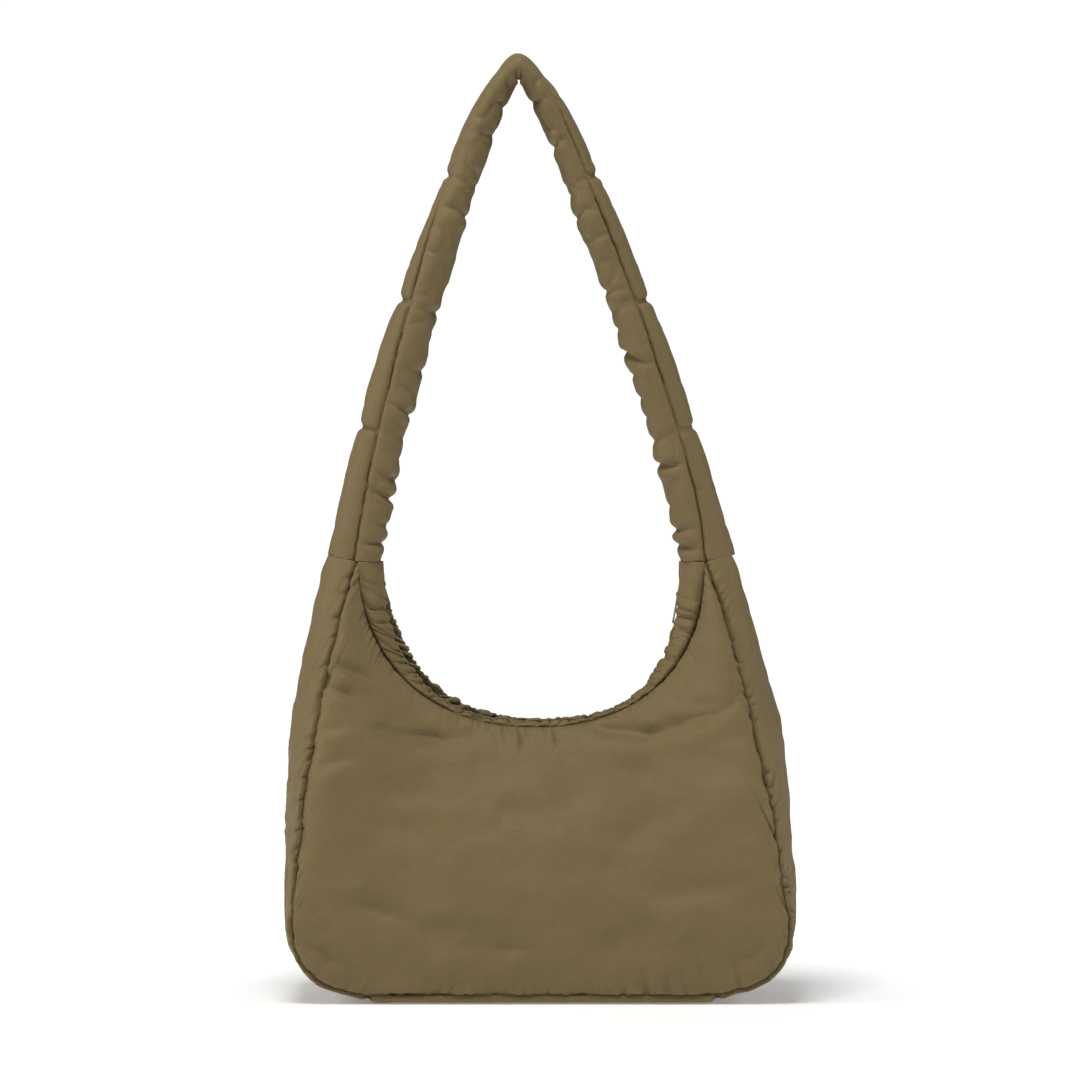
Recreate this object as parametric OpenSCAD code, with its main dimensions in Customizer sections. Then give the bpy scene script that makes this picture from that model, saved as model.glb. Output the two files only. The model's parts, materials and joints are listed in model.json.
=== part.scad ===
// Padded nylon hobo bag: a lightly filled body with a scooped, zipped mouth and one tubular strap.
// X runs across the bag, the front faces -Y, Z is up. The origin is under the middle, on the floor.
// The front and back are mirror images; every soft part is a ply of shell, wadding or lining.

/* [Body] */
// Height of the seams where the strap joins the body
seam_h = 297; // [285:1:310]
// Width of the front panel at the strap seams
panel_top_w = 236; // [232:1:250]
// Width of the front panel where it is widest, above the base corners
panel_low_w = 334; // [320:1:350]
// Height of that widest line
wide_h = 55; // [45:1:70]
// Distance from a base corner's end to the middle of the bag
corner_x = 118; // [100:1:125]
// Height of the panel's bottom seam above the floor
base_lift = 6.5; // [6:0.1:9]
// Depth of the bag at its belly
belly_d = 120; // [110:1:130]
// Height of the belly line
belly_h = 60; // [50:1:80]
// Depth of the bag at the bottom seam
base_d = 112; // [100:1:120]
// Depth of the bag at the strap seams
root_d = 34; // [32:1:38]
// How far the side gussets swell out past the panel near the strap
gusset_out = 19.5; // [16:0.5:24]
// How far the panels swell out between their seams
panel_swell = 8; // [4:1:12]
// How far the top of the hanging strap leans to the left
lean = 16.5; // [0:0.5:18]
// Height at which the leaning bag is centred over its origin
lean_zero = 63; // [0:1:100]

/* [Mouth] */
// Radius of the scooped edge of the mouth
mouth_r = 102.5; // [98:0.5:104]
// Height of the centre of the mouth arc
mouth_z = 292; // [290:1:294]
// Width of the rim band next to the strap
rim_top_w = 14; // [13:1:15]
// Width of the rim band at the bottom of the scoop
rim_low_w = 6.5; // [6:0.1:8]
// Half depth of the mouth at the bottom of the scoop
mouth_half_d = 13; // [9:0.5:14]
// Thickness of a padded rim band
rim_t = 2; // [1.5:0.1:2.2]

/* [Strap] */
// Height of the top of the hanging strap
total_h = 643.5; // [620:1:660]
// Thickness of the strap tube at the folded top
fold_t = 13; // [10:1:16]
// Width of the strap tube at its root
strap_root_w = 37; // [34:1:38]
// Width that the tube loses evenly on the way up
strap_taper = 14; // [8:1:15]
// Extra width that the tube loses as it is pinched at the top
strap_pinch = 10; // [6:1:11]
// Extra depth of the tube where the fold flattens it
fold_spread = 8; // [0:1:12]
// How far each leg bows outwards just under the fold
strap_bow = 4.8; // [0:0.1:6]

/* [Plies] */
// Thickness of the nylon shell
shell_t = 0.6; // [0.5:0.1:0.8]
// Thickness of the wadding
wadding_t = 3; // [2:0.1:3.2]
// Thickness of the lining
lining_t = 0.5; // [0.4:0.1:0.6]
// Ease between two plies
ply_gap = 0.2; // [0.15:0.01:0.25]

/* [Zip] */
// Distance from the mouth edge in to the teeth
zip_recess = 2.6; // [2.4:0.1:2.8]
// Height of the chain of teeth
teeth_h = 2.2; // [2:0.1:2.4]
// Width of one row of teeth
teeth_w = 2; // [1.8:0.1:2.2]
// Half of the slot between the two rows
teeth_slot = 0.6; // [0.55:0.05:0.7]
// Thickness of the zip tape
tape_t = 0.5; // [0.4:0.1:0.6]
// Angle from the level of the arc's centre down to the parked slider
park_angle = 10; // [9:0.5:11]
// Angle that each sewn-in zip end takes up
zip_end_angle = 16; // [16:0.5:18]
// Length of the slider along the zip
slider_l = 12; // [10:0.5:12.5]
// Length of the pull tab
pull_l = 20; // [16:1:21]

/* [Inside] */
// Width share of the slip pocket on the back lining, to each side of the middle
pocket_span = 5; // [3:1:6]

/* [Hidden] */
$fn = 96;

khaki = [0.46, 0.40, 0.28];
khaki_dark = [0.40, 0.35, 0.25];
wadding_white = [0.90, 0.89, 0.85];
lining_brown = [0.36, 0.31, 0.22];
tape_brown = [0.26, 0.22, 0.16];
metal = [0.80, 0.80, 0.80];

side_steps = 8;
corner_steps = 6;
base_steps = 3;
half_steps = side_steps + corner_steps + base_steps;
full_steps = 2 * half_steps;
corner_end = side_steps + corner_steps;
panel_rows = 5;
rim_steps = 24;
strap_steps = 18;

wadding_in = shell_t + ply_gap;
lining_in = wadding_in + wadding_t + ply_gap;
pocket_in = lining_in + lining_t + ply_gap;
mouth_x = -lean * (mouth_z - lean_zero) / total_h;
teeth_r = mouth_r + zip_recess;
rim_edge_y = 6;
strap_ease = 0.6;
strap_base = seam_h + strap_ease;
strap_pivot = strap_base + root_d / 2;
// Angles at which the sewn-in zip ends and the metal stops start
zip_end_start = 4;
zip_stop_start = 2.6;
zip_stop_span = 1.2;
chain_start = zip_end_angle + 0.5;
// Across-and-out profile of a gusset, as shares of its swell and of the bag's half depth
gusset_profile = [[0, -1], [0.72, -0.94], [1, -0.72], [1, 0.72], [0.72, 0.94], [0, 1]];

function mix(a, b, t) = a + (b - a) * t;
function clamp01(t) = max(0, min(1, t));
function smooth(t) = let (c = clamp01(t)) c * c * (3 - 2 * c);
function unit(v) = v / norm(v);
function bezier(a, b, c, d, t) =
    pow(1 - t, 3) * a + 3 * t * pow(1 - t, 2) * b + 3 * t * t * (1 - t) * c + pow(t, 3) * d;
// A point [x, y, z] moved sideways with the lean of the hanging bag
function leaned(p) = [p.x - lean * (p.z - lean_zero) / total_h, p.y, p.z];

// Right half of the panel's outer seam as [x, z]: side, rounded corner, bottom
side_top = [panel_top_w / 2, seam_h];
side_low = [panel_low_w / 2, wide_h];
corner_low = [corner_x, base_lift];
// Handles of the curves down the side and round the corner
side_top_pull = [22, -65];
side_low_pull = [-9, 85];
corner_in_pull = [1, -31];
corner_out_pull = [34, 0];
half_seam = concat(
    [for (i = [0 : side_steps - 1])
        bezier(side_top, side_top + side_top_pull, side_low + side_low_pull, side_low, i / side_steps)],
    [for (i = [0 : corner_steps - 1])
        bezier(side_low, side_low + corner_in_pull, corner_low + corner_out_pull, corner_low,
            i / corner_steps)],
    [for (i = [0 : base_steps]) [corner_x * (1 - i / base_steps), base_lift]]
);
function mirrored(p) = [-p.x, p.y];
function seam(i) = i <= half_steps ? half_seam[i] : mirrored(half_seam[full_steps - i]);

// Outward direction of the gusset at a seam point, levelled out over a short height at the strap seams
level_h = 40;
function half_out(i) =
    let (
        along = i == 0 ? half_seam[1] - half_seam[0] : seam(i + 1) - half_seam[i - 1],
        level = clamp01(1 - (seam_h - half_seam[i].y) / level_h)
    )
    unit(mix(unit([-along.y, along.x]), [1, 0], i == 0 ? 1 : level));
function out(i) = i <= half_steps ? half_out(i) : mirrored(half_out(full_steps - i));

// Half depth of the bag at a height on the gusset seam
function half_depth(z) =
    z > belly_h
        ? mix(root_d, belly_d, cos(90 * (z - belly_h) / (seam_h - belly_h))) / 2
        : mix(belly_d, base_d, pow((belly_h - z) / (belly_h - base_lift), 2)) / 2;
// Swell of the gusset past the seam: it grows from the base up over a stretch of the side
swell_from = 30;
swell_over = 170;
function swell(z) =
    base_lift - ply_gap + (gusset_out - base_lift) * smooth((z - swell_from) / swell_over);

// Seam between the rim band and the panel: half an ellipse under the strap seams, as [x, z]
function rim_seam(a) = [
    (mouth_r + rim_top_w) * cos(a),
    seam_h - (seam_h - mouth_z + mouth_r + rim_low_w) * sin(a)
];
function rim_seam_y(a) = mix(mouth_half_d, root_d / 2, pow(abs(cos(a)), 3));

// A point of the front panel at seam step i, v of the way from the rim out, sunk in by a ply depth
function panel_point(i, v, sunk) =
    let (
        a = 180 * i / full_steps,
        edge = seam(i),
        p = mix(rim_seam(a), edge, v),
        y = mix(rim_seam_y(a), half_depth(edge.y), pow(sin(90 * v), 0.8))
            + panel_swell * sin(180 * v) * sin(a)
    )
    leaned([p.x, sunk - y, p.y]);

// A solid through a row of closed rings with equal, even numbers of points. Each ring runs out along
// one side and back along the other, and both sides are split along matching diagonals.
module loft(rings) {
    n = len(rings[0]);
    half = n / 2;
    last = len(rings) - 1;
    sides = [for (i = [0 : last - 1], j = [0 : n - 1])
        let (a = i * n + j, b = i * n + (j + 1) % n)
        each j < half ? [[a, b, a + n], [b, b + n, a + n]] : [[a, b, b + n], [a, b + n, a + n]]];
    first_cap = [for (j = [0 : half - 2])
        each [[j, n - 1 - j, n - 2 - j], [j, n - 2 - j, j + 1]]];
    last_cap = [for (f = first_cap) [f[2] + last * n, f[1] + last * n, f[0] + last * n]];
    polyhedron(points = [for (r = rings) each r], faces = concat(sides, first_cap, last_cap));
}

// One ply of the front panel, or a patch of it, between two depths
module panel_ply(sunk, thick, first = 0, last = full_steps, row0 = 0, row1 = panel_rows) {
    loft([for (i = [first : last]) concat(
        [for (k = [row0 : row1]) panel_point(i, k / panel_rows, sunk)],
        [for (k = [row1 : -1 : row0]) panel_point(i, k / panel_rows, sunk + thick)]
    )]);
}

// One ply of the gusset between two seam steps
module gusset_ply(sunk, thick, first, last) {
    loft([for (i = [first : last])
        let (p = seam(i), o = out(i), d = half_depth(p.y), s = swell(p.y))
        concat(
            [for (q = gusset_profile)
                let (r = p + o * (ply_gap + (s - sunk) * q.x))
                leaned([r.x, (d - sunk) * q.y, r.y])],
            [for (k = [len(gusset_profile) - 1 : -1 : 0])
                let (q = gusset_profile[k], r = p + o * (ply_gap + (s - sunk - thick) * q.x))
                leaned([r.x, (d - sunk - thick) * q.y, r.y])]
        )]);
}

module back_half() {
    mirror([0, 1, 0]) children();
}

// The padded band between the front panel and the zip
module rim_half() {
    first_a = 2.4;
    seam_gap = 0.6;
    crown = 1;
    loft([for (k = [0 : rim_steps])
        let (
            a = mix(first_a, 180 - first_a, k / rim_steps),
            s = rim_seam(a),
            outer = leaned([s.x, 0, s.y]),
            inner = [mouth_x + mouth_r * cos(a), 0, mouth_z - mouth_r * sin(a)],
            far = outer + unit(inner - outer) * seam_gap,
            mid = (far + inner) / 2,
            y = rim_seam_y(a),
            y_mid = (y + rim_edge_y) / 2 + crown
        )
        [
            inner - [0, rim_edge_y, 0], mid - [0, y_mid, 0], far - [0, y, 0],
            far - [0, y - rim_t, 0], mid - [0, y_mid - rim_t, 0], inner - [0, rim_edge_y - rim_t, 0]
        ]]);
}

// Sweeps a section, drawn as [radius, distance towards the front], along the mouth arc.
// Angles are counted down from the right end of the arc.
module along_zip(from, to) {
    translate([mouth_x, 0, mouth_z])
        rotate([90, 0, 0])
        rotate([0, 0, -to])
        rotate_extrude(angle = to - from)
        children();
}

module tape_section() {
    tape_out = 6.2;
    tape_ease = 0.1;
    tape_in = teeth_slot + teeth_w + tape_ease;
    translate([teeth_r + (teeth_h - tape_t) / 2, tape_in]) square([tape_t, tape_out - tape_in]);
}

module teeth_section() {
    translate([teeth_r, teeth_slot]) square([teeth_h, teeth_w]);
}

// The sewn-in end of the zip, with both tapes and both rows of teeth
module zip_end(from, to) {
    along_zip(from, to) {
        tape_section();
        mirror([0, 1]) tape_section();
        teeth_section();
        mirror([0, 1]) teeth_section();
    }
}

// A metal stop clamped over both rows, just before the first tooth
module zip_stop(from) {
    clamp_t = 0.4;
    clamp_w = 5.6;
    along_zip(from, from + zip_stop_span)
        translate([teeth_r - clamp_t, -clamp_w / 2]) square([teeth_h + 2 * clamp_t, clamp_w]);
}

// The slider's two plates, their edges and the post between the rows, as [radius, front]
module slider_section() {
    play = 0.4;
    plate_t = 1.2;
    half_w = 3.4;
    edge_w = 0.6;
    edge_h = 0.5;
    post_w = 0.4;
    top_r = teeth_r - play - plate_t;
    low_r = teeth_r + teeth_h + play;
    translate([top_r, -half_w]) square([plate_t, 2 * half_w]);
    translate([low_r, -half_w]) square([plate_t, 2 * half_w]);
    translate([top_r, -post_w / 2]) square([low_r - top_r, post_w]);
    for (side = [-1, 1])
        translate([0, side * (half_w - edge_w / 2) - edge_w / 2]) {
            translate([top_r + plate_t, 0]) square([edge_h, edge_w]);
            translate([low_r - edge_h, 0]) square([edge_h, edge_w]);
        }
}

pin_r = 0.6;
pin_in = 3.7;
eye_r = 1.5;

// Places a part at the slider's pin: X points away from the mouth's centre, Z up along the zip
module at_pin() {
    translate([mouth_x, 0, mouth_z])
        rotate([0, park_angle, 0])
        translate([teeth_r - pin_in, 0, 0])
        children();
}

module zip_slider() {
    cheek_y = 2.1;
    cheek_t = 1;
    cheek_in = 1;
    cheek_l = 3.4;
    cheek_h = 3.6;
    half_angle = slider_l / 2 / teeth_r * 180 / PI;
    color(metal) {
        along_zip(park_angle - half_angle, park_angle + half_angle) slider_section();
        at_pin() {
            rotate([90, 0, 0]) cylinder(r = pin_r, h = 2 * (cheek_y + cheek_t), center = true);
            for (side = [-1, 1])
                translate([-cheek_in, side * (cheek_y + cheek_t / 2) - cheek_t / 2, -cheek_h / 2])
                    cube([cheek_l, cheek_t, cheek_h]);
        }
    }
}

module zip_pull() {
    eye_w = 3.8;
    tab_w = 6;
    tab_t = 1.2;
    neck_l = 4;
    neck_in = 3;
    play = 0.3;
    color(metal)
        at_pin()
        difference() {
            union() {
                rotate([90, 0, 0]) cylinder(r = eye_r, h = eye_w, center = true);
                translate([-tab_t / 2, -eye_w / 2, -neck_l]) cube([tab_t, eye_w, neck_l]);
                translate([-tab_t / 2, -tab_w / 2, -pull_l]) cube([tab_t, tab_w, pull_l - neck_in]);
            }
            rotate([90, 0, 0]) cylinder(r = pin_r + play, h = 3 * eye_w, center = true);
        }
}

// Strap: stations up the right leg, closer together in the rounded root, then down the left leg
root_stations = [0, 0.01, 0.026];
first_full = 0.055;
leg_stations = concat(root_stations, [for (i = [0 : strap_steps]) mix(first_full, 1, i / strap_steps)]);
leg_last = len(leg_stations) - 1;
strap_start = [(mouth_r + panel_top_w / 2 + gusset_out) / 2, strap_base];
strap_top = [0, total_h - fold_t / 2];
strap_start_pull = [-17, 102];
strap_top_pull = [50, -92];
function leg_bow(t) = strap_bow * sin(180 * pow(t, 6));
function leg_point(t) =
    bezier(strap_start, strap_start + strap_start_pull, strap_top + strap_top_pull, strap_top, t)
    + [leg_bow(t), 0];
function strap_w(t) = strap_root_w - strap_taper * t - strap_pinch * pow(t, 6);
function strap_half_d(t) =
    let (p = leg_point(t), below = max(0, strap_pivot - p.y))
    sqrt(max(9, pow(root_d / 2, 2) - below * below)) + fold_spread / 2 * pow(t, 3);
function strap_out(t) =
    let (
        step = 0.01,
        along = leg_point(min(1, t + step)) - leg_point(max(0, t - step)),
        across = unit([along.y, -along.x]),
        low = mix([1, 0], across, smooth((t - first_full) / 0.1))
    )
    unit(mix(low, [0, 1], smooth((t - 0.9) / 0.1)));
// Angle from the outer middle line round to the long seams; the seams drift outwards on the way up
seam_angle_root = 88;
seam_angle_top = 62;
seam_slit = 1;
function strap_seam_angle(t) = mix(seam_angle_root, seam_angle_top, t);

// A point of the tube at a station, an angle round from the outer middle line and a depth
function strap_point(t, angle, sunk) =
    let (p = leg_point(t) + strap_out(t) * (strap_w(t) / 2 - sunk) * cos(angle))
    [p.x, (strap_half_d(t) - sunk) * sin(angle), p.y];
// Station of ring k, and the ring's points moved over to the leg that it is on
function station(k) = leg_stations[k > leg_last ? 2 * leg_last - k : k];
function on_leg(k, ring) = [for (q = ring) leaned([k > leg_last ? -q.x : q.x, q.y, q.z])];

// One shell panel of the strap tube: the outer one or the inner one, with n facets across
module strap_ply(inner, n) {
    loft([for (k = [0 : 2 * leg_last])
        let (
            t = station(k),
            s = strap_seam_angle(t),
            a0 = inner ? s + seam_slit : seam_slit - s,
            a1 = inner ? 360 - s - seam_slit : s - seam_slit
        )
        on_leg(k, concat(
            [for (j = [0 : n]) strap_point(t, mix(a0, a1, j / n), 0)],
            [for (j = [n : -1 : 0]) strap_point(t, mix(a0, a1, j / n), shell_t)]
        ))]);
}

module front_panel() {
    color(khaki) panel_ply(0, shell_t);
}

module front_wadding() {
    color(wadding_white) panel_ply(wadding_in, wadding_t);
}

module front_lining() {
    color(lining_brown) panel_ply(lining_in, lining_t);
}

module back_panel() {
    color(khaki) back_half() panel_ply(0, shell_t);
}

module back_wadding() {
    color(wadding_white) back_half() panel_ply(wadding_in, wadding_t);
}

module back_lining() {
    color(lining_brown) back_half() panel_ply(lining_in, lining_t);
}

module side_gusset_right() {
    color(khaki_dark) gusset_ply(0, shell_t, 0, corner_end);
}

module side_wadding_right() {
    color(wadding_white) gusset_ply(wadding_in, wadding_t, 0, corner_end);
}

module side_lining_right() {
    color(lining_brown) gusset_ply(lining_in, lining_t, 0, corner_end);
}

module side_gusset_left() {
    color(khaki_dark) gusset_ply(0, shell_t, full_steps - corner_end, full_steps);
}

module side_wadding_left() {
    color(wadding_white) gusset_ply(wadding_in, wadding_t, full_steps - corner_end, full_steps);
}

module side_lining_left() {
    color(lining_brown) gusset_ply(lining_in, lining_t, full_steps - corner_end, full_steps);
}

module base_gusset() {
    color(khaki_dark) gusset_ply(0, shell_t, corner_end, full_steps - corner_end);
}

module base_wadding() {
    color(wadding_white) gusset_ply(wadding_in, wadding_t, corner_end, full_steps - corner_end);
}

module base_lining() {
    color(lining_brown) gusset_ply(lining_in, lining_t, corner_end, full_steps - corner_end);
}

// Slip pocket sewn to the back lining, open along its upper edge
module inner_pocket() {
    color(lining_brown)
        back_half()
        panel_ply(pocket_in, lining_t, half_steps - pocket_span, half_steps + pocket_span,
            1, panel_rows - 1);
}

// Blank care label on the lining near the right side seam
module care_label() {
    label_step = 8;
    color("white") panel_ply(pocket_in, lining_t, label_step, label_step + 1, 3, 4);
}

module zip_end_right() {
    color(tape_brown) zip_end(zip_end_start, zip_end_angle);
}

module zip_end_left() {
    color(tape_brown) zip_end(180 - zip_end_angle, 180 - zip_end_start);
}

module zip_stop_right() {
    color(metal) zip_stop(zip_stop_start);
}

module zip_stop_left() {
    color(metal) zip_stop(180 - zip_stop_start - zip_stop_span);
}

module front_rim() {
    color(khaki) rim_half();
}

module back_rim() {
    color(khaki) back_half() rim_half();
}

module zip_tape_front() {
    color(tape_brown) along_zip(chain_start, 180 - chain_start) tape_section();
}

module zip_tape_back() {
    color(tape_brown) back_half() along_zip(chain_start, 180 - chain_start) tape_section();
}

module zip_teeth_front() {
    color(metal) along_zip(chain_start, 180 - chain_start) teeth_section();
}

module zip_teeth_back() {
    color(metal) back_half() along_zip(chain_start, 180 - chain_start) teeth_section();
}

module strap_outer_panel() {
    color(khaki_dark) strap_ply(false, 8);
}

module strap_inner_panel() {
    color(khaki) strap_ply(true, 10);
}

// Wadding roll that fills the strap tube
module strap_wadding() {
    sides = 16;
    ease = 0.8;
    sunk = shell_t + ease;
    color(wadding_white)
        loft([for (k = [0 : 2 * leg_last])
            on_leg(k, [for (j = [0 : sides - 1]) strap_point(station(k), 360 * j / sides, sunk)])]);
}

front_panel();
front_wadding();
front_lining();
back_panel();
back_wadding();
back_lining();
side_gusset_left();
side_wadding_left();
side_lining_left();
side_gusset_right();
side_wadding_right();
side_lining_right();
base_gusset();
base_wadding();
base_lining();
inner_pocket();
care_label();
zip_end_left();
zip_end_right();
zip_stop_left();
zip_stop_right();
front_rim();
zip_tape_front();
zip_teeth_front();
back_rim();
zip_tape_back();
zip_teeth_back();
zip_slider();
zip_pull();
strap_outer_panel();
strap_inner_panel();
strap_wadding();
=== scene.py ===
"""A padded khaki nylon hobo bag, dressed around its CAD frame.

Metres throughout; X runs across the bag, the front faces -Y and Z is up.
"""
import json
import math

import bpy
import numpy as np
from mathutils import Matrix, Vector


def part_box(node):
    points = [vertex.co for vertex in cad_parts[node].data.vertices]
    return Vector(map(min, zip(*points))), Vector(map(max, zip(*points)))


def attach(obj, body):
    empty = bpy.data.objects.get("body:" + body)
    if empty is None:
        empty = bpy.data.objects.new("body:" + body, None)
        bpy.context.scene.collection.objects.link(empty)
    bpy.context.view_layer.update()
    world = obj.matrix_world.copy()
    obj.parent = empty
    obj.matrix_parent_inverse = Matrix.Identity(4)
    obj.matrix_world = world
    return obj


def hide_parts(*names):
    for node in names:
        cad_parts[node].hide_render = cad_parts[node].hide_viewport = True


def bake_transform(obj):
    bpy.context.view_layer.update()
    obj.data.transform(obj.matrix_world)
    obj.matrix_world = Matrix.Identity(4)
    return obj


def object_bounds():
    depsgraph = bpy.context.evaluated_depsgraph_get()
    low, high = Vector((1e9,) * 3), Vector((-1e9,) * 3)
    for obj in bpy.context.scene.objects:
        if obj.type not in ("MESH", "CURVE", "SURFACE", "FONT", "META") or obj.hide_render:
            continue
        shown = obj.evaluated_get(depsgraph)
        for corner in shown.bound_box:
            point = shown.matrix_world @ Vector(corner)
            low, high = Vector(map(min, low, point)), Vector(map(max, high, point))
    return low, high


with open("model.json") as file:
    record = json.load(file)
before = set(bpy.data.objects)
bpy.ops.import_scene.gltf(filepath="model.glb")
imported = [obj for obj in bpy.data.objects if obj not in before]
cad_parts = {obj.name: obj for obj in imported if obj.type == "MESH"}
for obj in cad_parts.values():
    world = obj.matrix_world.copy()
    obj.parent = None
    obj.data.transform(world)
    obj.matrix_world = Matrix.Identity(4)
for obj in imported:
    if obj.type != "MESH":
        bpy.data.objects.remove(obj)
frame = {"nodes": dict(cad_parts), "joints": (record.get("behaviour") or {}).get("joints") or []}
CAD_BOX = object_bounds()
JOINTS = {j["name"]: j for j in frame["joints"]}

# -------- sizes taken from the frame
PANEL_LOW, PANEL_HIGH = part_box("front_panel")
SEAM_H = PANEL_HIGH.z
BASE_LIFT = PANEL_LOW.z
TOP_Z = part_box("strap_outer_panel")[1].z
MOUTH = Vector(JOINTS["zip_slide"]["pos_m"])
TEETH_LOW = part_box("zip_teeth_front")[0]
MM = 0.001

# -------- sizes of the sewn shape
HALF_LOW = 167 * MM       # half width of the panel where it is widest
HALF_TOP = 118 * MM       # half width of the panel at the strap seams
WIDE_H = 55 * MM          # height of the widest line
CORNER_X = 118 * MM       # where the base corners end
BASE_HALF_D = 56 * MM     # half depth at the bottom seam
BELLY_HALF_D = 60 * MM    # half depth at the belly
BELLY_H = 60 * MM         # height of the belly
ROOT_HALF_D = 17 * MM     # half depth at the strap seams
GUSSET_OUT = 19.5 * MM    # swell of the side gusset near the strap
PANEL_SWELL = 8 * MM      # how far the middle of a panel stands out
LEAN = 16.5 * MM          # sideways lean of the hanging bag over its height
LEAN_ZERO = 63 * MM       # height at which the lean is nothing
MOUTH_R = 102.5 * MM      # radius of the scooped mouth
RIM_SEAM_A, RIM_SEAM_B = 117.5 * MM, 112.5 * MM  # half axes of the rim's lower seam
RIM_EDGE_A, RIM_EDGE_B = 100.5 * MM, 108.5 * MM  # half axes of the rim's free edge
RIM_SQUARE = 2.22         # exponent of the rim seam's outline
RIM_SEAM_Y = 13 * MM      # half depth of the mouth at its lowest point
RIM_RUN = 105 * MM        # length of rim for each radian round the mouth
STRAP_SLANT = 0.22        # rise of the strap seam towards the outer side of the bag
PAD = 3.8 * MM            # shell and wadding together
PLY_GAP = 0.3 * MM        # between a wadding and its lining
LINING_T = 0.5 * MM
SEED = 7


# -------- small maths
def mix(a, b, t):
    return a + (b - a) * t


def smooth(t):
    t = np.clip(t, 0, 1)
    return t * t * (3 - 2 * t)


def bezier(a, b, c, d, t):
    a, b, c, d = (np.asarray(p, float) for p in (a, b, c, d))
    t = np.asarray(t, float)[..., None]
    return (1 - t) ** 3 * a + 3 * t * (1 - t) ** 2 * b + 3 * t * t * (1 - t) * c + t ** 3 * d


def hashed(cells, seed):
    """A repeatable number from -1 to 1 for each lattice cell."""
    h = np.sin(cells @ np.array([127.1, 311.7, 74.7])[: cells.shape[-1]] + seed * 17.31) * 43758.5453
    return 2 * (h - np.floor(h)) - 1


def noise(*coords, seed=0):
    """Smooth lattice noise from -1 to 1 in one, two or three dimensions."""
    p = np.stack(np.broadcast_arrays(*coords), -1).astype(float)
    low = np.floor(p)
    f = smooth(p - low)
    total = 0
    n = p.shape[-1]
    for corner in range(2 ** n):
        step = np.array([(corner >> k) & 1 for k in range(n)], float)
        weight = np.prod(np.where(step == 1, f, 1 - f), axis=-1)
        total = total + weight * hashed(low + step, seed + SEED)
    return total


def lean_x(z):
    """Sideways shift of the hanging bag at a height."""
    return -LEAN * (z - LEAN_ZERO) / TOP_Z


def signed_power(x, e):
    return np.sign(x) * np.abs(x) ** e


def resample(points, n):
    """The polyline at n equal steps of its length."""
    length = np.concatenate([[0], np.cumsum(np.linalg.norm(np.diff(points, axis=0), axis=1))])
    want = np.linspace(0, length[-1], n)
    return np.stack([np.interp(want, length, points[:, k]) for k in range(points.shape[1])], 1), length[-1]


# -------- the sewn outline, in the XZ plane
def seam_outline(n):
    """Seam between panel and gusset from the right strap seam round the base to the left one."""
    t = np.linspace(0, 1, 200, endpoint=False)
    top, low, end = (HALF_TOP, SEAM_H), (HALF_LOW, WIDE_H), (CORNER_X, BASE_LIFT)
    side = bezier(top, (HALF_TOP + 22 * MM, SEAM_H - 65 * MM),
                  (HALF_LOW - 9 * MM, WIDE_H + 85 * MM), low, t)
    corner = bezier(low, (HALF_LOW + 1 * MM, WIDE_H - 31 * MM),
                    (CORNER_X + 34 * MM, BASE_LIFT), end, t)
    base = bezier(end, (CORNER_X * 0.66, BASE_LIFT), (CORNER_X * 0.33, BASE_LIFT), (0, BASE_LIFT), t)
    right = np.concatenate([side, corner, base, [[0, BASE_LIFT]]])
    left = right[-2::-1] * [-1, 1]
    path, length = resample(np.concatenate([right, left]), n)
    along = np.gradient(path, axis=0)
    outward = np.stack([-along[:, 1], along[:, 0]], 1)
    outward /= np.linalg.norm(outward, axis=1)[:, None]
    level = np.clip(1 - (SEAM_H - path[:, 1]) / 0.04, 0, 1)[:, None]
    outward = mix(outward, np.stack([np.sign(path[:, 0]), 0 * path[:, 0]], 1), level)
    outward /= np.linalg.norm(outward, axis=1)[:, None]
    return path, outward, length


def half_depth(z):
    """Half depth of the bag along the gusset seam: greatest at the belly, least at the strap."""
    rise = np.clip((z - BELLY_H) / (SEAM_H - BELLY_H), 0, 1)
    up = mix(ROOT_HALF_D, BELLY_HALF_D, np.cos(np.pi / 2 * rise))
    down = mix(BELLY_HALF_D, BASE_HALF_D, (np.clip(BELLY_H - z, 0, 1) / (BELLY_H - BASE_LIFT)) ** 2)
    return np.where(z > BELLY_H, up, down)


def gusset_swell(z):
    """How far a gusset stands out from its seams at a height."""
    return BASE_LIFT + (GUSSET_OUT - BASE_LIFT) * smooth((z - 0.03) / 0.17)


def rounded(a, half_x, half_z):
    """A rounded outline hanging from the strap seams; angle a runs from the right, down and to the left."""
    e = 2 / RIM_SQUARE
    return half_x * signed_power(np.cos(a), e), SEAM_H - half_z * np.abs(np.sin(a)) ** e


def rim_seam_depth(a):
    """Half depth of the mouth along the rim's seam."""
    return mix(RIM_SEAM_Y, ROOT_HALF_D, np.abs(np.cos(a)) ** 3)


# -------- meshes from grids
def grid_normals(p):
    du = np.gradient(p, axis=0)
    dv = np.gradient(p, axis=1)
    n = np.cross(du, dv)
    return n / np.maximum(np.linalg.norm(n, axis=-1, keepdims=True), 1e-12)


def outward_normals(p, centre=(0, 0, 0.12)):
    n = grid_normals(p)
    away = p - np.array(centre)
    return n if (n * away).sum() > 0 else -n


def make_object(name, verts, faces, material, smooth_shade=True):
    mesh = bpy.data.meshes.new(name)
    mesh.from_pydata(verts.tolist(), [], faces if isinstance(faces, list) else faces.tolist())
    mesh.validate()
    if smooth_shade:
        mesh.shade_smooth()
    mesh.materials.append(material)
    obj = bpy.data.objects.new(name, mesh)
    bpy.context.scene.collection.objects.link(obj)
    return obj


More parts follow.
